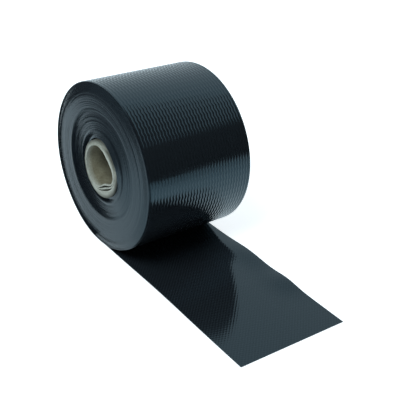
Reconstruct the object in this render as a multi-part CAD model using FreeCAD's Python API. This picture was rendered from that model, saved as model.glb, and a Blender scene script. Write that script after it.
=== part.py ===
# Roll of polythene damp proof course on a cardboard core, with its free end run out flat.
#
# Millimetres. The origin is the centre of the core's bore, at mid width. +Y runs along the bore,
# +X is the way the free end runs out, and +Z is up. The roll rests on its own free end.
#
# The sheet is one width all through, so a turn that is set in at the -Y end of the roll stands out
# by as much at the +Y end. Each band below is a group of turns with one sideways shift.
import FreeCAD, Part
import math
import os

from FreeCAD import Vector

# The sheet
sheet_width = 100.0
sheet_thickness = 0.5

# The roll
coil_diameter = 144.0
core_diameter = 50.0
core_wall = 5.0
# How far each end of the core stays inside the sheet's edge: none, as it is cut to the sheet's width
core_end_gap = 0.0

# The free end, measured along the floor from the line where the roll stands
free_end_length = 194.0
curl_length = 38.0
curl_rise = 2.0

# Bands of turns counted outwards from the core: (radial depth, shift towards +Y)
bands_from_core = (
    (1.5, 2.2),
    (3.0, 4.0),
    (1.5, 0.9),
    (3.0, 1.8),
    (4.0, 1.4),
    (3.0, 0.9),
    (4.5, 0.4),
)
# Shift of the flat main body of turns between the two sets of bands
body_shift = -1.2
# Bands of turns counted inwards from the outside: (radial depth, shift towards +Y)
bands_from_outside = (
    (2.0, 0.0),
    (2.0, -0.3),
    (2.5, -0.8),
)

coil_radius = coil_diameter / 2
core_radius = core_diameter / 2
half_width = sheet_width / 2
core_length = sheet_width - 2 * core_end_gap
floor_z = -coil_radius
axis_y = Vector(0, 1, 0)


def turn_bands():
    """Every band as (inner radius, outer radius, shift), from the core to the outside."""
    inner = []
    radius = core_radius
    for depth, shift in bands_from_core:
        inner.append((radius, radius + depth, shift))
        radius += depth
    outer = []
    limit = coil_radius
    for depth, shift in bands_from_outside:
        outer.insert(0, (limit - depth, limit, shift))
        limit -= depth
    return inner + [(radius, limit, body_shift)] + outer


def turned(points):
    """A solid of revolution about the bore's axis, from (radius, y) points in the X-Y plane."""
    outline = [Vector(radius, y, 0) for radius, y in points]
    face = Part.Face(Part.makePolygon(outline + outline[:1]))
    return face.revolve(Vector(0, 0, 0), axis_y, 360)


def wound_turns(bands):
    """The wound turns as one turned solid with its bore, stepped at both ends."""
    near_end = []
    far_end = []
    for inner, outer, shift in bands:
        near_end += [(inner, shift - half_width), (outer, shift - half_width)]
        far_end += [(inner, shift + half_width), (outer, shift + half_width)]
    return turned(near_end + far_end[::-1])


def outer_turns_with_free_end(inner_radius, shift):
    """The outermost turns, which leave the roll at its foot and run out along the floor."""
    top_z = floor_z + sheet_thickness
    foot = Vector(0, 0, floor_z)
    crown = Vector(0, 0, coil_radius)
    nip = Vector(math.sqrt(coil_radius**2 - top_z**2), 0, top_z)
    curl_start = free_end_length - curl_length
    curl_radius = (curl_length**2 + curl_rise**2) / (2 * curl_rise)
    curl_angle = math.asin(curl_length / curl_radius)

    def on_curl(share, radius):
        angle = share * curl_angle
        x = curl_start + radius * math.sin(angle)
        return Vector(x, 0, floor_z + curl_radius - radius * math.cos(angle))

    inside = curl_radius - sheet_thickness
    edges = [
        Part.Arc(foot, Vector(-coil_radius, 0, 0), crown).toShape(),
        Part.Arc(crown, Vector(coil_radius, 0, 0), nip).toShape(),
        Part.makeLine(nip, on_curl(0, inside)),
        Part.Arc(on_curl(0, inside), on_curl(0.5, inside), on_curl(1, inside)).toShape(),
        Part.makeLine(on_curl(1, inside), on_curl(1, curl_radius)),
        Part.Arc(on_curl(1, curl_radius), on_curl(0.5, curl_radius), on_curl(0, curl_radius)).toShape(),
        Part.makeLine(on_curl(0, curl_radius), foot),
    ]
    face = Part.Face(Part.Wire(edges))
    solid = face.extrude(axis_y * sheet_width)
    solid.translate(axis_y * (shift - half_width))
    hole = Part.makeCylinder(
        inner_radius, 2 * sheet_width, Vector(0, -sheet_width, 0), axis_y
    )
    return solid.cut(hole)


def dpc_membrane():
    """The whole sheet: its wound turns and its free end are one piece."""
    bands = turn_bands()
    inner_radius, _, shift = bands[-1]
    sheet = wound_turns(bands[:-1]).fuse(outer_turns_with_free_end(inner_radius, shift))
    return sheet.removeSplitter()


def cardboard_core():
    """The spiral-wound cardboard tube that the sheet is wound on."""
    bore_radius = core_radius - core_wall
    half_length = core_length / 2
    return turned(
        [
            (bore_radius, -half_length),
            (core_radius, -half_length),
            (core_radius, half_length),
            (bore_radius, half_length),
        ]
    )


os.makedirs("parts", exist_ok=True)
for make in (dpc_membrane, cardboard_core):
    shape = make()
    shape.exportStep(f"parts/{make.__name__}.step")
    print(make.__name__, shape.isValid(), len(shape.Solids), round(shape.Volume))
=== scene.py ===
# Roll of polythene damp proof course on a cardboard core, with its free end run out flat.
#
# Metres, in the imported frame: the origin is the centre of the core's bore, +Y runs along the bore,
# +X is the way the free end runs out and +Z is up. The roll rests on its own free end.
import math
import random

import bpy
import numpy as np
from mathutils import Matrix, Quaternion, Vector


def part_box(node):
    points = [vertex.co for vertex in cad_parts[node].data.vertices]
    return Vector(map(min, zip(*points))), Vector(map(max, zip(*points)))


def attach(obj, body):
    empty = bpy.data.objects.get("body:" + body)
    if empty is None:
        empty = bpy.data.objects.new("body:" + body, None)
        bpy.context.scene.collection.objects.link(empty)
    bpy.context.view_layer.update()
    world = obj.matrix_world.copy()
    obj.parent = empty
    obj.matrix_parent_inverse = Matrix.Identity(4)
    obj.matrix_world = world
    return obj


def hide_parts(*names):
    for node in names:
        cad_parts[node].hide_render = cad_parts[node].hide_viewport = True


MM = 0.001

# Sockets of the mix node: its two numbers, its two colours and the mixed colour
first_number = 2
second_number = 3
first_colour = 6
second_colour = 7
mixed_colour = 2

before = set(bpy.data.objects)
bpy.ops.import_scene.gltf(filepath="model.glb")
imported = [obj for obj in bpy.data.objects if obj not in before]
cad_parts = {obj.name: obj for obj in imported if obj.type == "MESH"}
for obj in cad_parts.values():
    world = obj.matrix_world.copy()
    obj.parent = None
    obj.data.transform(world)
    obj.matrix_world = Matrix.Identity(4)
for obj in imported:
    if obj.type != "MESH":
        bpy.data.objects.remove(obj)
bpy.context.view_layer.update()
sheet_low, sheet_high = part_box("dpc_membrane")
core_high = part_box("cardboard_core")[1]

# Sizes taken from the frame
coil_radius = sheet_high.z
core_radius = core_high.z
half_width = core_high.y
floor_level = sheet_low.z
free_end_reach = sheet_high.x

# The sheet: 30 m of it, nominally half a millimetre, fills the coil in this many turns
turns = 97
sheet_thickness = 0.46 * MM
# The ribs stand this far out of the sheet's outer face
rib_height = 0.15 * MM
turn_pitch = (coil_radius - rib_height - core_radius - sheet_thickness) / turns
foot_angle = -math.pi / 2


# ---------------------------------------------------------------- mesh helpers


def piece_from_loops(name, loops, materials, closed=False, smooth_below=35.0, second_from=None):
    """A closed skin through loops of points, capped at both ends unless the loops close a ring.

    loops is an array of shape (loop, point, 3). Strips from point second_from on take the second material.
    """
    count, ring = loops.shape[:2]
    step = np.arange(count if closed else count - 1)[:, None]
    side = np.arange(ring)[None, :]
    following = (step + 1) % count
    beside = (side + 1) % ring
    corners = (
        step * ring + side,
        following * ring + side,
        following * ring + beside,
        step * ring + beside,
    )
    quads = np.stack(np.broadcast_arrays(*corners), axis=-1).reshape(-1, 4)
    faces = quads.tolist()
    if not closed:
        half = ring // 2
        for first, flip in ((0, False), ((count - 1) * ring, True)):
            for column in range(half - 1):
                cap = [
                    first + column,
                    first + column + 1,
                    first + ring - 2 - column,
                    first + ring - 1 - column,
                ]
                faces.append(cap[::-1] if flip else cap)
    mesh = bpy.data.meshes.new(name)
    mesh.from_pydata(loops.reshape(-1, 3).tolist(), [], faces)
    mesh.validate()
    for material in materials:
        mesh.materials.append(material)
    if second_from is not None:
        finish = np.zeros(len(faces), dtype=np.int32)
        finish[:len(quads)] = np.arange(len(quads)) % ring >= second_from
        mesh.polygons.foreach_set("material_index", finish)
    mesh.shade_smooth()
    mesh.set_sharp_from_angle(angle=math.radians(smooth_below))
    piece = bpy.data.objects.new(name, mesh)
    bpy.context.scene.collection.objects.link(piece)
    return piece


def smooth_step(value):
    """0 below 0, 1 above 1, and a smooth rise between."""
    value = np.clip(value, 0.0, 1.0)
    return value * value * (3.0 - 2.0 * value)


def hump(value, centre, spread):
    """A smooth bump of height 1."""
    return np.exp(-(((value - centre) / spread) ** 2))


# ---------------------------------------------------------------- the worn mouth of the core

core_wall = 5.0 * MM
plies = 6
ply_gap = 0.03 * MM
core_segments = 180
# Depths inside the near mouth at which the plies have points
mouth_depths = (0.0, 0.25, 1.0, 2.5, 4.5, 7.0, 10.0, 14.0, 18.0, 30.0, 60.0, 90.0)
far_mouth_depths = (1.0, 0.25, 0.0)
# The board is worn at the near mouth: as (angle in degrees, spread in degrees, millimetres)
crushed_inwards = (52.0, 45.0, 3.0)
bore_worn_wide = (190.0, 60.0, 2.6)
bore_pushed_in = (40.0, 50.0, 1.0)
plies_swollen = (-66.0, 36.0, 4.2)
# The whole mouth sags by this many millimetres
mouth_sag = 1.3
# Depth inside the mouth at which the crushing ends, and how far out the turns are dented with the core
crush_depth = 12.0 * MM
dented_turns = 8.0 * MM
# Depth at which the swollen and sprung plies are back in place
loose_depth = 18.0 * MM
# The two innermost plies have also sprung away from the wall, by so many millimetres more
sprung_plies = {0: 3.3, 1: 1.6}
# The outer plies have been torn back from the mouth
torn_back = (38.0, 36.0, 3.0)
torn_from_ply = 2
# Each ply's cut edge is frayed by up to this many millimetres, which dies out within the reach
fray_seed = 5
fray_height = 0.45
fray_reach = 4.0 * MM


def around(angle, place):
    """Height of a worn place, in metres, at an angle round the tube."""
    middle, spread, height = place
    away = (angle - math.radians(middle) + math.pi) % math.tau - math.pi
    return height * MM * hump(away, 0.0, math.radians(spread))


def dent_of_turns(radius, angle):
    """How far the innermost turns are pushed in with the crushed core at the near mouth."""
    return around(angle, crushed_inwards) * smooth_step(1.0 - (radius - core_radius) / dented_turns)


# ---------------------------------------------------------------- the turns

# Points beyond this are the near end's, and their rims lie within the coil's radius, give or take this much
near_end = -0.8 * half_width
rim_tolerance = 0.1 * MM


def cad_bands():
    """The bands of turns that the frame gives, as (outer radius, shift towards +Y), from the core out."""
    rims = {}
    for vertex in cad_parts["dpc_membrane"].data.vertices:
        x, y, z = vertex.co
        if y < near_end:
            radius = round(math.hypot(x, z) / MM, 1)
            rims.setdefault(radius, set()).add(round((y + half_width) / MM, 1))
    radii = [radius for radius in sorted(rims) if radius * MM <= coil_radius + rim_tolerance]
    found = []
    for inner, outer in zip(radii, radii[1:]):
        shared = rims[inner] & rims[outer]
        if shared:
            found.append((outer * MM, min(shared) * MM))
    return found


bands = cad_bands()

# Each turn also wanders a little as it was wound, and every few turns the winding wanders more
winding_seed = 11
turn_wander_height = 0.03 * MM
slow_wander_height = 0.07 * MM
slow_wander_turns = 6
turn_numbers = np.arange(turns + 3)
slow_numbers = np.arange(turns // slow_wander_turns + 3)
wander = random.Random(winding_seed)
turn_wander = np.array([wander.uniform(-1.0, 1.0) for _ in turn_numbers]) * turn_wander_height
slow_wander = np.array([wander.uniform(-1.0, 1.0) for _ in slow_numbers]) * slow_wander_height
# The lean of a cut edge varies from turn to turn between these shares
burr_least = 0.7
burr_most = 1.3
turn_burr = np.array([wander.uniform(burr_least, burr_most) for _ in turn_numbers])
# The shift changes from one band's to the next over this many turns
slide = 8.0
# Where the core is crushed, the turns round it lie nearly level with its mouth, out to a radius:
# as (angle, spread) in degrees
level_place = (30.0, 62.0)
level_share = 0.8
level_within = 31.0 * MM
level_fade = 2.0 * MM
# The wall round the pushed-in part stands off the roll's axis, this way and this far
recess_way = math.radians(60.0)
recess_off_axis = 4.5 * MM
recess_wall = 45.0 * MM
recess_wall_spread = 5.0 * MM
# The sheet has slipped sideways low on the free end's side, where its last turn begins
outer_slip = 2.1 * MM
outer_slip_place = turns - 0.87
outer_slip_length = 0.24


def sideways_shift(position):
    """Shift towards +Y of the sheet at a place along it, given in turns from the core."""
    shift = np.full(position.shape, bands[0][1])
    angle = foot_angle + math.tau * (position - turns)
    for (outer, here), (_, after) in zip(bands, bands[1:]):
        off_axis = recess_off_axis * hump(outer, recess_wall, recess_wall_spread) * np.cos(angle - recess_way)
        change = (outer + off_axis - core_radius) / turn_pitch
        shift += (after - here) * smooth_step((position - change) / slide + 0.5)
    radius = core_radius + turn_pitch * position
    level = around(angle, (*level_place, level_share)) / MM
    shift *= 1.0 - level * smooth_step((level_within - radius) / level_fade + 0.5)
    shift += np.interp(position, turn_numbers, turn_wander)
    shift += np.interp(position / slow_wander_turns, slow_numbers, slow_wander)
    shift += outer_slip * hump(position, outer_slip_place, outer_slip_length)
    return shift


# Chords that the wound turns are made of: how long they are, how few make a whole turn, and how near the end
# of the winding, in turns, the last one may stop
coil_chord = 2.2 * MM
fewest_chords = 48
stop_short = 1e-6


def place_in_turns(first, last, chord):
    """Places along the wound sheet, in turns, whose chords are about that long at every radius."""
    places = [first]
    while places[-1] < last - stop_short:
        radius = core_radius + turn_pitch * places[-1]
        steps = max(fewest_chords, round(math.tau * radius / chord))
        places.append(min(last, (math.floor(places[-1] * steps + 0.5) + 1) / steps))
    return np.array(places)


# The knife that slits the rolls drags the cut edges of the outermost turns, so that their outer corners are
# set in. The lean is less towards the core. As (radius, how far the corner is set in):
edge_leans = (
    (25.0 * MM, 0.10 * MM),
    (44.0 * MM, 0.07 * MM),
    (48.0 * MM, 0.03 * MM),
    (58.0 * MM, 0.03 * MM),
    (62.0 * MM, 0.07 * MM),
    (65.0 * MM, 0.18 * MM),
    (72.0 * MM, 0.22 * MM),
)
# Beyond a radius, on the free end's side, the knife left the edges nearly square:
# as (angle, spread, share of the lean lost)
square_place = (28.0, 55.0, 0.9)
square_beyond = 60.0 * MM
square_fade = 4.0 * MM


def edge_lean(position):
    """How far the outer corner of the cut edge is set in."""
    angle = foot_angle + math.tau * (position - turns)
    radii, leans = zip(*edge_leans)
    radius = core_radius + turn_pitch * position
    lean = np.interp(radius, radii, leans)
    squared = around(angle, square_place) / MM * smooth_step((radius - square_beyond) / square_fade)
    return lean * (1.0 - squared) * np.interp(position, turn_numbers, turn_burr)


def make_wound_turns(materials):
    """All the turns but the outermost, as one strip wound on itself, with its cut edges."""
    position = place_in_turns(0.0, turns - 1.0, coil_chord)
    angle = foot_angle + math.tau * (position - turns)
    outer = coil_radius - rib_height - turn_pitch * (turns - position)
    shift = sideways_shift(position)
    dent = dent_of_turns(outer, angle)
    # (depth under the outer face, end, distance inside that end, whether the outer corner of the cut edge)
    section = (
        (0.0, -1, 0.0, True),
        (sheet_thickness, -1, 0.0, False),
        (sheet_thickness, -1, crush_depth, False),
        (sheet_thickness, 1, 0.0, False),
        (0.0, 1, 0.0, True),
        (0.0, -1, crush_depth, False),
    )
    loops = np.zeros((len(position), len(section), 3))
    for column, (depth, end, inside, outer_corner) in enumerate(section):
        near_mouth = end == -1 and inside == 0.0
        radius = outer - depth - (dent if near_mouth else 0.0)
        set_in = edge_lean(position) if outer_corner else inside
        loops[:, column, 0] = radius * np.cos(angle)
        loops[:, column, 1] = shift + end * (half_width - set_in)
        loops[:, column, 2] = radius * np.sin(angle)
    return piece_from_loops("wound_turns", loops, materials)


# ---------------------------------------------------------------- the outer turn and the free end

rib_count = 34
# Width of a rib's sloping side and of its crown
rib_flank = 0.38 * MM
rib_crown = 0.14 * MM
# The ribs run in a slight zig-zag along the sheet
zigzag_length = 5.6 * MM
zigzag_sway = 0.42 * MM
# The zig-zag dies out this close to the sheet's edges
straight_margin = 3.0 * MM
# Over this last part of a turn the sheet swings round to the free end's own line
swing_turns = 0.25
# The free end leaves the roll a little askew
askew = math.radians(-1.3)
askew_pivot = 55.0 * MM
# Laid flat, its end reaches this much further than it does with the end curled up
laid_flat = 1.6 * MM
# Its end is cut a little out of square: the far corner stands forward by this, and the near one back
end_skew = 1.6 * MM
# The free end stands off the floor in two buckles at its far edge and one long bow at its near edge:
# as (place along it, length, height)
far_buckles = ((83.0 * MM, 24.0 * MM, 2.3 * MM), (131.0 * MM, 16.0 * MM, 2.1 * MM))
near_bow = (90.0 * MM, 50.0 * MM, 1.3 * MM)
# They rise from this share of half the width outwards
flat_share = 0.2


def rib_columns():
    """Places across the sheet's width and the height of the ribs there."""
    pitch = 2 * half_width / rib_count
    columns = [(-half_width, 0.0)]
    for rib in range(rib_count):
        middle = -half_width + (rib + 0.5) * pitch
        foot = rib_crown / 2 + rib_flank
        columns.append((middle - foot, 0.0))
        columns.append((middle - rib_crown / 2, rib_height))
        columns.append((middle + rib_crown / 2, rib_height))
        columns.append((middle + foot, 0.0))
    columns.append((half_width, 0.0))
    return np.array(columns)


def free_end_rise(x, y):
    """Height of the free end above the floor at a place on it."""
    outwards = y / half_width
    rise = 0.0
    for place, length, height in far_buckles:
        far_side = smooth_step((outwards - flat_share) / (1.0 - flat_share)) ** 3
        rise = rise + height * hump(x, place, length) * far_side
    place, length, height = near_bow
    near_side = smooth_step((-outwards - flat_share) / (1.0 - flat_share)) ** 2
    return rise + height * hump(x, place, length) * near_side


def make_outer_turn(materials):
    """The outermost turn and the free end that it runs out into: ribbed outside, plain inside."""
    columns = rib_columns()
    width = columns[:, 0]
    ribs = columns[:, 1]
    land_radius = coil_radius - rib_height
    half_wave = zigzag_length / 2
    coil_rows = int(math.tau * coil_radius / half_wave)
    free_rows = int(free_end_reach / half_wave)
    inset = np.clip((half_width - np.abs(width)) / straight_margin, 0.0, 1.0)
    loops = []
    for row in range(coil_rows + free_rows + 1):
        sway = zigzag_sway * (1 if row % 2 else -1)
        across = width + sway * inset
        if row <= coil_rows:
            position = turns - 1.0 + row / coil_rows
            angle = foot_angle + math.tau * position
            land = land_radius - turn_pitch * (turns - position)
            shift = float(sideways_shift(np.array([position]))[0])
            to_foot = smooth_step((position - turns) / swing_turns + 1.0)
            shift = shift * (1 - to_foot) + to_foot * math.tan(-askew) * askew_pivot
            outward = np.array([math.cos(angle), 0.0, math.sin(angle)])
            outer_face = np.outer(land + ribs, outward)
            inner_face = np.outer(np.full_like(ribs, land - sheet_thickness), outward)
            outer_face[:, 1] = across + shift
            inner_face[:, 1] = width + shift
        else:
            x = (free_end_reach + laid_flat) * (row - coil_rows) / free_rows
            drift = math.tan(askew) * (x - askew_pivot)
            skew = end_skew * (width / half_width) * (x / free_end_reach)
            land = floor_level + rib_height + free_end_rise(x, width)
            outer_face = np.stack([x + skew, across + drift, land - ribs], axis=-1)
            inner_face = np.stack([x + skew, width + drift, land + sheet_thickness], axis=-1)
        loops.append(np.concatenate([outer_face, inner_face[::-1]]))
    return piece_from_loops(
        "outer_turn_and_free_end",
        np.array(loops),
        materials,
        smooth_below=25.0,
        second_from=len(width),
    )


# ---------------------------------------------------------------- the core


def mouth_radius(radius, ply, angle, depth):
    """Radius that a ply's face has at an angle and a depth inside the near mouth."""
    from_outside = (core_radius - radius) / core_wall
    moved = -mouth_sag * MM * np.sin(angle) - around(angle, crushed_inwards)
    moved += from_outside * (around(angle, bore_worn_wide) - around(angle, bore_pushed_in))
    moved *= smooth_step(1.0 - depth / crush_depth)
    sprung = sprung_plies.get(ply, 0.0)
    loosened = from_outside * around(angle, plies_swollen)
    loosened += around(angle, (plies_swollen[0], plies_swollen[1], sprung))
    return radius + moved - loosened * smooth_step(1.0 - depth / loose_depth)


def make_core(material):
    """The spiral-wound tube as nested plies of board, with its worn near mouth."""
    angle = np.arange(core_segments) * math.tau / core_segments
    from_far_mouth = 2 * half_width - np.array(far_mouth_depths) * MM
    depths = np.concatenate([np.array(mouth_depths) * MM, from_far_mouth])
    pieces = []
    fray = random.Random(fray_seed)
    ply_thickness = core_wall / plies
    for ply in range(plies):
        inner = core_radius - core_wall + ply * ply_thickness
        outer = inner + ply_thickness - ply_gap
        edge = np.array([fray.uniform(0.0, fray_height) for _ in range(core_segments)]) * MM
        edge = (edge + np.roll(edge, 1) + np.roll(edge, -1)) / 3
        section = [(inner, depth) for depth in depths] + [(outer, depth) for depth in depths[::-1]]
        loops = np.zeros((core_segments, len(section), 3))
        for column, (radius, depth) in enumerate(section):
            worn = mouth_radius(radius, ply, angle, depth)
            set_back = edge + (around(angle, torn_back) if ply >= torn_from_ply else 0.0)
            loops[:, column, 0] = worn * np.cos(angle)
            loops[:, column, 1] = -half_width + depth + set_back * max(0.0, 1.0 - depth / fray_reach)
            loops[:, column, 2] = worn * np.sin(angle)
        pieces.append(piece_from_loops(f"ply_{ply}", loops, [material], closed=True))
    core = pieces[0]
    core.name = "spiral_wound_core"
    with bpy.context.temp_override(
        active_object=core, selected_editable_objects=pieces, selected_objects=pieces
    ):
        bpy.ops.object.join()
    return core


# ---------------------------------------------------------------- finishes


def colour(hex_value):
    """An sRGB hex colour as linear red, green, blue and alpha."""
    channels = [int(hex_value[place:place + 2], 16) / 255 for place in (1, 3, 5)]
    linear = [c / 12.92 if c <= 0.04045 else ((c + 0.055) / 1.055) ** 2.4 for c in channels]
    return (*linear, 1.0)


def add_node(tree, kind, inputs=None, **settings):
    """One node with its settings, its sockets set to values or linked from other nodes' outputs."""
    made = tree.nodes.new(kind)
    for name, value in settings.items():
        setattr(made, name, value)
    for name, value in (inputs or {}).items():
        if isinstance(value, bpy.types.NodeSocket):
            tree.links.new(value, made.inputs[name])
        else:
            made.inputs[name].default_value = value
    return made


def new_finish(name):
    """An empty material and its node tree."""
    material = bpy.data.materials.new(name)
    material.use_nodes = True
    material.node_tree.nodes.clear()
    return material, material.node_tree


def finish_with(tree, shader):
    """Links the shader to the material's output."""
    add_node(tree, "ShaderNodeOutputMaterial", {"Surface": shader.outputs[0]})


# Black polythene: carbon black makes it nearly opaque, and its shine is a little blue
polythene_black = colour("#1d2023")
polythene_shine = colour("#b8eaff")
polythene_index = 1.51
# The plain face and the cut edges shine less than the ribbed face does, so theirs are set lower
plain_face_index = 1.42
cut_edge_index = 1.38


def ribbed_polythene():
    """Low-density polythene sheet, black with carbon, embossed by a ribbed roller: smooth and glossy."""
    material, tree = new_finish("ribbed_black_polythene")
    place = add_node(tree, "ShaderNodeTexCoord")
    # The roller leaves very low ripples, as long as this
    ripple_length = 8.3 * MM
    ripple = add_node(
        tree,
        "ShaderNodeTexNoise",
        {"Vector": place.outputs["Object"], "Scale": 1.0 / ripple_length, "Detail": 2.0},
    )
    relief = add_node(
        tree,
        "ShaderNodeBump",
        {"Height": ripple.outputs["Fac"], "Distance": 0.02 * MM, "Strength": 0.5},
    )
    shader = add_node(
        tree,
        "ShaderNodeBsdfPrincipled",
        {
            "Base Color": polythene_black,
            "Roughness": 0.12,
            "IOR": polythene_index,
            "Specular Tint": polythene_shine,
            "Normal": relief.outputs["Normal"],
        },
    )
    finish_with(tree, shader)
    return material


def plain_faced_polythene():
    """The sheet's other face, calendered smooth and glossy.

    The roller's pattern shows through as a faint lattice of dimples.
    """
    material, tree = new_finish("plain_faced_black_polythene")
    place = add_node(tree, "ShaderNodeTexCoord")
    axes = add_node(tree, "ShaderNodeSeparateXYZ", {"Vector": place.outputs["Object"]})
    # Dimples taken as 1.5 mm apart. They are drawn twice as coarse, which is what still shows
    dimple_spacing = 1.5 * MM
    spacing = 2.0 * dimple_spacing
    along = add_node(
        tree, "ShaderNodeMath", {0: axes.outputs["X"], 1: math.tau / spacing}, operation="MULTIPLY"
    )
    across = add_node(
        tree, "ShaderNodeMath", {0: axes.outputs["Y"], 1: math.tau / spacing}, operation="MULTIPLY"
    )
    rows = add_node(tree, "ShaderNodeMath", {0: along.outputs[0]}, operation="SINE")
    files = add_node(tree, "ShaderNodeMath", {0: across.outputs[0]}, operation="SINE")
    lattice = add_node(
        tree, "ShaderNodeMath", {0: rows.outputs[0], 1: files.outputs[0]}, operation="MULTIPLY"
    )
    relief = add_node(
        tree,
        "ShaderNodeBump",
        {"Height": lattice.outputs[0], "Distance": 0.013 * MM, "Strength": 1.0},
    )
    # The dimples are drawn a little lighter than the flat between them
    dimple_lightening = add_node(
        tree, "ShaderNodeMapRange", {"Value": lattice.outputs[0], "From Min": -0.8, "From Max": 0.8}
    )
    tint = add_node(
        tree,
        "ShaderNodeMix",
        {"Factor": dimple_lightening.outputs["Result"], first_colour: colour("#15181b"), second_colour: colour("#23272b")},
        data_type="RGBA",
    )
    shader = add_node(
        tree,
        "ShaderNodeBsdfPrincipled",
        {
            "Base Color": tint.outputs[mixed_colour],
            "Roughness": 0.08,
            "IOR": plain_face_index,
            "Specular Tint": polythene_shine,
            "Normal": relief.outputs["Normal"],
        },
    )
    finish_with(tree, shader)
    return material


def slit_edges():
    """The same sheet where a knife has slit it.

    The knife drags the cut, so each edge leans outwards from the bore and is a little duller than the faces.
    The lean changes from turn to turn, which shows as fine rings.
    """
    material, tree = new_finish("slit_polythene_edges")
    place = add_node(tree, "ShaderNodeTexCoord")
    surface = add_node(tree, "ShaderNodeNewGeometry")
    from_axis = add_node(
        tree, "ShaderNodeVectorMath", {0: place.outputs["Object"], 1: (1.0, 0.0, 1.0)}, operation="MULTIPLY"
    )
    radius = add_node(tree, "ShaderNodeVectorMath", {0: from_axis.outputs[0]}, operation="LENGTH")
    outwards = add_node(tree, "ShaderNodeVectorMath", {0: from_axis.outputs[0]}, operation="NORMALIZE")
    # Rings about three turns apart
    rings = add_node(
        tree,
        "ShaderNodeTexNoise",
        {"W": radius.outputs["Value"], "Scale": 1.0 / (3.0 * turn_pitch), "Detail": 2.0},
        noise_dimensions="1D",
    )
    lean = add_node(
        tree,
        "ShaderNodeMapRange",
        {"Value": rings.outputs["Fac"], "From Min": 0.3, "From Max": 0.7, "To Min": -0.04, "To Max": 0.08},
    )
    tilt = add_node(
        tree,
        "ShaderNodeVectorMath",
        {0: outwards.outputs[0], "Scale": lean.outputs["Result"]},
        operation="SCALE",
    )
    leaning = add_node(
        tree, "ShaderNodeVectorMath", {0: surface.outputs["Normal"], 1: tilt.outputs[0]}, operation="ADD"
    )
    normal = add_node(tree, "ShaderNodeVectorMath", {0: leaning.outputs[0]}, operation="NORMALIZE")
    shader = add_node(
        tree,
        "ShaderNodeBsdfPrincipled",
        {
            "Base Color": colour("#1a1e22"),
            "Roughness": 0.25,
            "IOR": cut_edge_index,
            "Specular Tint": polythene_shine,
            "Normal": normal.outputs[0],
        },
    )
    finish_with(tree, shader)
    return material


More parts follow.
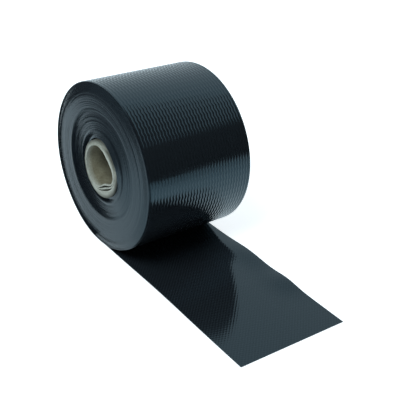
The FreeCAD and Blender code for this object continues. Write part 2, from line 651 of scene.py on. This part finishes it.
def grey_board():
    """Spiral-wound recycled board: grey and fibrous where it is cut, browner down the bore and drawn darker
    there, which is painted shade.
    """
    material, tree = new_finish("grey_board")
    place = add_node(tree, "ShaderNodeTexCoord")
    axes = add_node(tree, "ShaderNodeSeparateXYZ", {"Vector": place.outputs["Object"]})
    # Paper fibres are about 0.05 mm across. They are drawn as flecks of about 1 mm, which is what still shows
    fleck_size = 1.11 * MM
    blotch_size = 9.1 * MM
    fibres = add_node(
        tree,
        "ShaderNodeTexNoise",
        {"Vector": place.outputs["Object"], "Scale": 1.0 / fleck_size, "Detail": 4.0},
    )
    blotches = add_node(
        tree,
        "ShaderNodeTexNoise",
        {"Vector": place.outputs["Object"], "Scale": 1.0 / blotch_size, "Detail": 2.0},
    )
    mottle = add_node(
        tree,
        "ShaderNodeMix",
        {"Factor": 0.5, first_number: fibres.outputs["Fac"], second_number: blotches.outputs["Fac"]},
    )
    spread = add_node(
        tree,
        "ShaderNodeMapRange",
        {"Value": mottle.outputs[0], "From Min": 0.35, "From Max": 0.65},
    )
    cut = add_node(
        tree,
        "ShaderNodeMix",
        {
            "Factor": spread.outputs["Result"],
            first_colour: colour("#8f8d80"),
            second_colour: colour("#c0beb2"),
        },
        data_type="RGBA",
    )
    # Down the bore the board is browner, and it is drawn darker too: painted shade inside the bore
    lining_and_bore_shade = add_node(
        tree,
        "ShaderNodeMix",
        {
            "Factor": spread.outputs["Result"],
            first_colour: colour("#675f4d"),
            second_colour: colour("#867f6a"),
        },
        data_type="RGBA",
    )
    inside = add_node(
        tree,
        "ShaderNodeMapRange",
        {"Value": axes.outputs["Y"], "From Min": -half_width + 0.5 * MM, "From Max": -half_width + 5 * MM},
    )
    tint = add_node(
        tree,
        "ShaderNodeMix",
        {
            "Factor": inside.outputs["Result"],
            first_colour: cut.outputs[mixed_colour],
            second_colour: lining_and_bore_shade.outputs[mixed_colour],
        },
        data_type="RGBA",
    )
    # The outer plies are drawn darker, most where the mouth is crushed: painted shade from the polythene
    # groove round the core
    shade_off_centre = (1.2 * MM, 0.0, 1.8 * MM)
    from_axis = add_node(
        tree, "ShaderNodeVectorMath", {0: place.outputs["Object"], 1: (1.0, 0.0, 1.0)}, operation="MULTIPLY"
    )
    off_centre = add_node(
        tree, "ShaderNodeVectorMath", {0: from_axis.outputs[0], 1: shade_off_centre}, operation="ADD"
    )
    radius = add_node(tree, "ShaderNodeVectorMath", {0: off_centre.outputs[0]}, operation="LENGTH")
    outer_ply_shade = add_node(
        tree,
        "ShaderNodeMapRange",
        {"Value": radius.outputs["Value"], "From Min": 21.5 * MM, "From Max": 25.0 * MM, "To Max": 0.92},
    )
    # The crushed side is drawn darker where its plies are torn back, this far up from level: painted shade in
    # the torn-back notch
    crushed_angle = math.radians(55)
    crushed_way = (math.cos(crushed_angle), 0.0, math.sin(crushed_angle))
    towards_crushed = add_node(
        tree, "ShaderNodeVectorMath", {0: place.outputs["Object"], 1: crushed_way}, operation="DOT_PRODUCT"
    )
    torn_back_shade = add_node(
        tree,
        "ShaderNodeMapRange",
        {
            "Value": towards_crushed.outputs["Value"],
            "From Min": 12.5 * MM,
            "From Max": 16.5 * MM,
            "To Max": 0.75,
        },
    )
    set_back = add_node(
        tree,
        "ShaderNodeMapRange",
        {"Value": axes.outputs["Y"], "From Min": -half_width + 0.6 * MM, "From Max": -half_width + 2 * MM},
    )
    torn_back_shade_at_mouth = add_node(
        tree,
        "ShaderNodeMath",
        {0: torn_back_shade.outputs["Result"], 1: set_back.outputs["Result"]},
        operation="MULTIPLY",
    )
    # The two painted shades together, mixed into the board's colour as a dark grey
    painted_shade = add_node(
        tree,
        "ShaderNodeMath",
        {0: outer_ply_shade.outputs["Result"], 1: torn_back_shade_at_mouth.outputs[0]},
        operation="MAXIMUM",
    )
    shaded_board = add_node(
        tree,
        "ShaderNodeMix",
        {
            "Factor": painted_shade.outputs[0],
            first_colour: tint.outputs[mixed_colour],
            second_colour: colour("#3d3c36"),
        },
        data_type="RGBA",
    )
    relief = add_node(
        tree,
        "ShaderNodeBump",
        {"Height": fibres.outputs["Fac"], "Distance": 0.3 * MM, "Strength": 0.6},
    )
    shader = add_node(
        tree,
        "ShaderNodeBsdfPrincipled",
        {"Base Color": shaded_board.outputs[mixed_colour], "Roughness": 0.9, "Normal": relief.outputs["Normal"]},
    )
    finish_with(tree, shader)
    return material


# ---------------------------------------------------------------- build

ribbed = ribbed_polythene()
plain_faced = plain_faced_polythene()
edges = slit_edges()
board = grey_board()

wound = make_wound_turns([edges])
outer_turn = make_outer_turn([ribbed, plain_faced])
core = make_core(board)
for piece in (wound, outer_turn):
    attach(piece, "root")
    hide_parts("dpc_membrane")
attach(core, "root")
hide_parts("cardboard_core")

# ---------------------------------------------------------------- the camera

view_from = Vector((0.5108, -0.3611, 0.3036))
view_to = Vector((0.0666, 0.0039, -0.0144))
view_roll = math.radians(3.937)
lens = 72.64

camera_data = bpy.data.cameras.new("camera")
camera_data.lens = lens
camera_data.sensor_width = 36.0
camera_data.clip_start = 0.01
camera_data.clip_end = 50.0
camera = bpy.data.objects.new("camera", camera_data)
bpy.context.scene.collection.objects.link(camera)
camera.location = view_from
camera.rotation_mode = "QUATERNION"
camera.rotation_quaternion = (view_to - view_from).to_track_quat("-Z", "Y") @ Quaternion((0, 0, 1), view_roll)
bpy.context.scene.camera = camera
bpy.context.scene.view_settings.view_transform = "Standard"

# ---------------------------------------------------------------- the studio

# The studio stands square to the view: behind the roll, and to the right of it
behind = Vector((-0.773, 0.635, 0.0))
rightward = Vector((0.635, 0.773, 0.0))
upward = Vector((0.0, 0.0, 1.0))

white_light = (1.0, 1.0, 1.0, 1.0)
cool_light = (0.78, 0.93, 1.0, 1.0)


def area_lamp(name, place, aim, size, radiance):
    """A rectangular soft lamp of an even brightness. The white room, not the lamp, shows in reflections."""
    data = bpy.data.lights.new(name, "AREA")
    data.shape = "RECTANGLE"
    data.size, data.size_y = size
    data.energy = radiance * math.pi * size[0] * size[1]
    data.color = cool_light[:3]
    lamp = bpy.data.objects.new(name, data)
    bpy.context.scene.collection.objects.link(lamp)
    lamp.location = place
    lamp.rotation_euler = (Vector(aim) - Vector(place)).to_track_quat("-Z", "Y").to_euler()
    lamp.visible_camera = False
    lamp.visible_glossy = False
    return lamp


def staged_plane(name, corner, side, other_side, material):
    """A flat rectangle that belongs to the studio."""
    corners = [corner, corner + side, corner + side + other_side, corner + other_side]
    mesh = bpy.data.meshes.new(name)
    mesh.from_pydata([tuple(point) for point in corners], [], [(0, 1, 2, 3)])
    mesh.materials.append(material)
    plane = bpy.data.objects.new(name, mesh)
    bpy.context.scene.collection.objects.link(plane)
    return plane


def cloth_flag(name, corner, side, other_side, cloth):
    """A sheet of cloth that the glossy sheet reflects. It casts no shadow and the camera doesn't see it."""
    flag = staged_plane(name, corner, side, other_side, cloth)
    flag.visible_camera = False
    flag.visible_diffuse = False
    flag.visible_shadow = False
    return flag


def seen_or_reflected(tree):
    """Two switches, 0 or 1: seen by the camera straight or in a shiny or clear surface, and seen straight."""
    path = add_node(tree, "ShaderNodeLightPath")
    either = add_node(
        tree,
        "ShaderNodeMath",
        {0: path.outputs["Is Camera Ray"], 1: path.outputs["Is Glossy Ray"]},
        operation="MAXIMUM",
    )
    any_of = add_node(
        tree,
        "ShaderNodeMath",
        {0: either.outputs[0], 1: path.outputs["Is Transmission Ray"]},
        operation="MAXIMUM",
    )
    return any_of.outputs[0], path.outputs["Is Camera Ray"]


def white_paper(name, lift):
    """Matt white background paper, lifted to white where the camera sees it, straight or in a reflection.

    The lift is cool in reflections, as the light is, and plain white to the camera.
    """
    material, tree = new_finish(name)
    seen, straight = seen_or_reflected(tree)
    glow_colour = add_node(
        tree,
        "ShaderNodeMix",
        {"Factor": straight, first_colour: cool_light, second_colour: white_light},
        data_type="RGBA",
    )
    strength = add_node(tree, "ShaderNodeMath", {0: seen, 1: lift}, operation="MULTIPLY")
    paper = add_node(tree, "ShaderNodeBsdfDiffuse", {"Color": colour("#f0f2f4")})
    glow = add_node(
        tree,
        "ShaderNodeEmission",
        {"Color": glow_colour.outputs[mixed_colour], "Strength": strength.outputs[0]},
    )
    both = add_node(tree, "ShaderNodeAddShader", {0: paper.outputs[0], 1: glow.outputs[0]})
    finish_with(tree, both)
    return material


def matt_cloth(name, hex_value):
    """Matt cloth for the flags."""
    material, tree = new_finish(name)
    cloth = add_node(tree, "ShaderNodeBsdfDiffuse", {"Color": colour(hex_value)})
    finish_with(tree, cloth)
    return material


def card_with_painted_light(name, foot, top):
    """A card that is grey at its foot and fades to black higher up: the grey foot is painted light, as if the
    floor lit it.
    """
    material, tree = new_finish(name)
    place = add_node(tree, "ShaderNodeTexCoord")
    axes = add_node(tree, "ShaderNodeSeparateXYZ", {"Vector": place.outputs["Object"]})
    height = add_node(
        tree,
        "ShaderNodeMapRange",
        {"Value": axes.outputs["Z"], "From Min": foot, "From Max": top},
        interpolation_type="SMOOTHSTEP",
    )
    shade = add_node(
        tree,
        "ShaderNodeMix",
        {
            "Factor": height.outputs["Result"],
            first_colour: colour("#d8dcde"),
            second_colour: colour("#202224"),
        },
        data_type="RGBA",
    )
    card = add_node(tree, "ShaderNodeBsdfDiffuse", {"Color": shade.outputs[mixed_colour]})
    finish_with(tree, card)
    return material


# How much the floor is lifted to be white, how bright the room is seen and how bright it lights the object
floor_lift = 0.62
room_seen = 1.0
room_light = 0.15

floor_paper = white_paper("floor_paper", floor_lift)
floor_side = 8.0
floor_corner = Vector((-floor_side / 2, -floor_side / 2, floor_level))
staged_plane("floor", floor_corner, Vector((floor_side, 0, 0)), Vector((0, floor_side, 0)), floor_paper)

world = bpy.data.worlds.new("studio")
bpy.context.scene.world = world
world.use_nodes = True
world.node_tree.nodes.clear()
seen, straight = seen_or_reflected(world.node_tree)
room_colour = add_node(
    world.node_tree,
    "ShaderNodeMix",
    {"Factor": straight, first_colour: cool_light, second_colour: white_light},
    data_type="RGBA",
)
dim_room = add_node(
    world.node_tree,
    "ShaderNodeBackground",
    {"Color": cool_light, "Strength": room_light},
)
white_room = add_node(
    world.node_tree,
    "ShaderNodeBackground",
    {"Color": room_colour.outputs[mixed_colour], "Strength": room_seen},
)
sky = add_node(
    world.node_tree,
    "ShaderNodeMixShader",
    {0: seen, 1: dim_room.outputs[0], 2: white_room.outputs[0]},
)
add_node(world.node_tree, "ShaderNodeOutputWorld", {"Surface": sky.outputs[0]})

# The overhead lamp: a level sheet of light, with its near edge a little behind the roll
overhead_height = 0.5
overhead_depth = 1.2
overhead_lamp_front = 0.145
overhead_right = 0.97
overhead_width = 2.17
overhead_radiance = 1.0
overhead_middle = behind * (overhead_lamp_front + overhead_depth / 2)
overhead_middle += rightward * (overhead_right - overhead_width / 2)
overhead_middle += upward * overhead_height
overhead_size = (overhead_width, overhead_depth)
overhead = area_lamp(
    "overhead_softbox", overhead_middle, overhead_middle - upward, overhead_size, overhead_radiance
)
overhead.rotation_euler = (0, 0, math.atan2(rightward.y, rightward.x))

# The back wall: an upright sheet of light from the floor to the overhead lamp's far edge
back_distance = overhead_lamp_front + overhead_depth
back_height = overhead_height - floor_level
back_width = 2.4
back_radiance = 1.15
back_middle = behind * back_distance + upward * (overhead_height + floor_level) / 2
area_lamp("back_wall", back_middle, back_middle - behind, (back_width, back_height), back_radiance)

# The key lamp stands to the left of the camera and above it
key_place = Vector((0.16, -0.64, 0.86))
key_side = 0.6
key_radiance = 9.0
area_lamp("key", key_place, (0, 0, 0), (key_side, key_side), key_radiance)

# Flags and cards that the glossy sheet reflects
black_cloth = matt_cloth("black_cloth", "#202224")
grey_cloth = matt_cloth("grey_cloth", "#74787b")
front_reach = 2.5
right_foot = rightward * overhead_right - behind * front_reach + upward * floor_level
right_run = behind * (front_reach + back_distance)
cloth_flag("right_flag", right_foot, right_run, upward * back_height, black_cloth)

# The ceiling is dark in front of a line that is nearly square to the view
ceiling_slant = math.radians(-2)
ceiling_length = 2.07
ceiling_leftwards = 1.4
ceiling_line_right = 0.388
ceiling_line_behind = 0.045
ceiling_edge = rightward * math.cos(ceiling_slant) + behind * math.sin(ceiling_slant)
ceiling_point = rightward * ceiling_line_right + behind * ceiling_line_behind + upward * overhead_height
ceiling_corner = ceiling_point - ceiling_edge * ceiling_leftwards
ceiling_run = ceiling_edge * ceiling_length
cloth_flag("ceiling_flag", ceiling_corner, ceiling_run, behind * -front_reach, black_cloth)

# A card that stands to the right of the free end, with painted light grey at its foot
near_foot = Vector((0.20, 0.154, floor_level))
near_run = Vector((0.924, 0.382, 0.0))
near_height = 0.3
near_grade = 0.06
near_card = card_with_painted_light("near_card", floor_level, floor_level + near_grade)
cloth_flag("near_flag", near_foot, near_run, upward * near_height, near_card)

# A grey flag along the roll's near end, and a black one to the left of it
front_foot = Vector((-0.60, -0.275, floor_level))
front_length = 0.85
front_run = Vector((0.993, 0.105, 0.0)) * front_length
front_height = 0.4
cloth_flag("front_flag", front_foot, front_run, upward * front_height, grey_cloth)
left_foot = Vector((-0.38, -0.35, floor_level))
left_run = Vector((0.0, 0.28, 0.0))
left_height = 0.2
cloth_flag("left_flag", left_foot, left_run, upward * left_height, black_cloth)

# A black card on the floor beside the roll, which the lowest turns' leaning edges reflect: a painted shadow
# of the roll on the floor, seen only in reflections
card_lift = 0.3 * MM
card_corner = Vector((-0.27, -0.056, floor_level + card_lift))
card_length = Vector((0.260, 0.0, 0.0))
card_width = Vector((0.0, 0.11, 0.0))
cloth_flag("painted_shadow_card", card_corner, card_length, card_width, black_cloth)
